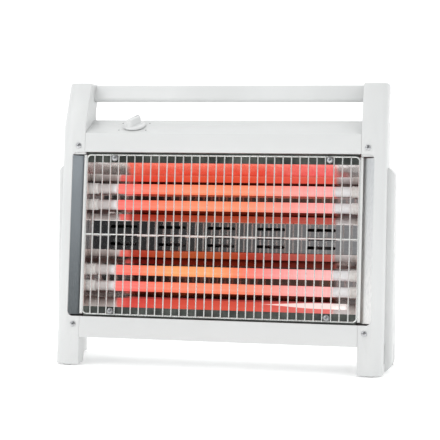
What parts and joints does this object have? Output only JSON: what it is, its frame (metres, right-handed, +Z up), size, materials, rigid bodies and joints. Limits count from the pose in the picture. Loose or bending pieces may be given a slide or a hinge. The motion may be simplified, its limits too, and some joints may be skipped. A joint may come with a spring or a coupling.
{
  "type": "quartz room heater",
  "caption": "Free-standing radiant room heater: horizontal quartz tubes in polished troughs behind a wire grille, sloped control panel with a rotary knob, and a carry bar between two posts.",
  "frame": {"origin": "middle of the footprint, on the floor", "axes": "+Z up, front towards -Y, +X to the right of someone who faces it"},
  "size_m": [0.511, 0.1498, 0.425],
  "materials": {
    "block_plastic": "natural nylon",
    "brass_part": "brass",
    "ceramic": "unglazed white ceramic",
    "chrome_wire": "bright chromium-plated wire",
    "dark_sheet": "dark enamelled strip",
    "gland_plastic": "black nylon",
    "glowing_wire": "resistance wire, glowing",
    "mirror_sheet": "polished aluminium",
    "pale_rubber": "pale grey rubber",
    "plain_sheet": "zinc-plated sheet steel",
    "quartz": "milky quartz",
    "sleeving": "glass-fibre sleeving",
    "steel_part": "plain steel",
    "steel_screw": "plated screw",
    "switch_plastic": "black switch moulding",
    "white_knob": "glossy white moulding",
    "white_moulding": "satin white moulding",
    "white_sheet": "white powder-coated sheet steel"
  },
  "bodies": {
    "heater": {"base_pan": "white_sheet", "ceramic_cap_left_1": "ceramic", "ceramic_cap_left_2": "ceramic", "ceramic_cap_left_3": "ceramic", "ceramic_cap_left_4": "ceramic", "ceramic_cap_right_1": "ceramic", "ceramic_cap_right_2": "ceramic", "ceramic_cap_right_3": "ceramic", "ceramic_cap_right_4": "ceramic", "cord_gland": "gland_plastic", "end_plate_left": "mirror_sheet", "end_plate_right": "mirror_sheet", "front_screws": "steel_screw", "grille": "chrome_wire", "grille_screws": "steel_screw", "handle_bar": "white_moulding", "handle_screws": "steel_screw", "heat_shield": "plain_sheet", "heating_coil_1": "glowing_wire", "heating_coil_2": "glowing_wire", "heating_coil_3": "glowing_wire", "heating_coil_4": "glowing_wire", "lamp_bracket_left": "plain_sheet", "lamp_bracket_right": "plain_sheet", "lead_harness_left": "sleeving", "lead_harness_right": "sleeving", "quartz_tube_1": "quartz", "quartz_tube_2": "quartz", "quartz_tube_3": "quartz", "quartz_tube_4": "quartz", "rail_lower": "dark_sheet", "rail_upper": "dark_sheet", "rear_cover": "white_sheet", "rear_cover_screws": "steel_screw", "reflector_lower": "mirror_sheet", "reflector_upper": "mirror_sheet", "rubber_feet": "pale_rubber", "selector_switch_body": "switch_plastic", "selector_switch_nut": "brass_part", "side_cover_left": "white_moulding", "side_cover_right": "white_moulding", "side_cover_screws": "steel_screw", "side_frame_left": "white_moulding", "side_frame_right": "white_moulding", "terminal_block": "block_plastic", "thermal_cutout": "steel_part", "tilt_pivot_pin": "steel_part", "tilt_switch_case": "switch_plastic", "tilt_switch_contacts": "switch_plastic", "top_cover": "white_sheet", "trim_left": "mirror_sheet", "trim_right": "mirror_sheet", "vent_panel": "mirror_sheet"},
    "knob": {"selector_knob": "white_knob", "selector_switch_shaft": "steel_part"},
    "pendulum": {"tilt_pendulum": "brass_part"}
  },
  "joints": [
    {"name": "knob_turn", "type": "hinge", "parent": "heater", "child": "knob", "pos_m": [-0.1375, -0.02118, 0.35846], "axis": [0, -0.4163, 0.9092], "range_deg": [-270, 0]},
    {"name": "tilt_swing", "type": "hinge", "parent": "heater", "child": "pendulum", "pos_m": [0.1475, 0.0044, 0.07574], "axis": [1, 0, 0], "range_deg": [-27, 27]}
  ]
}
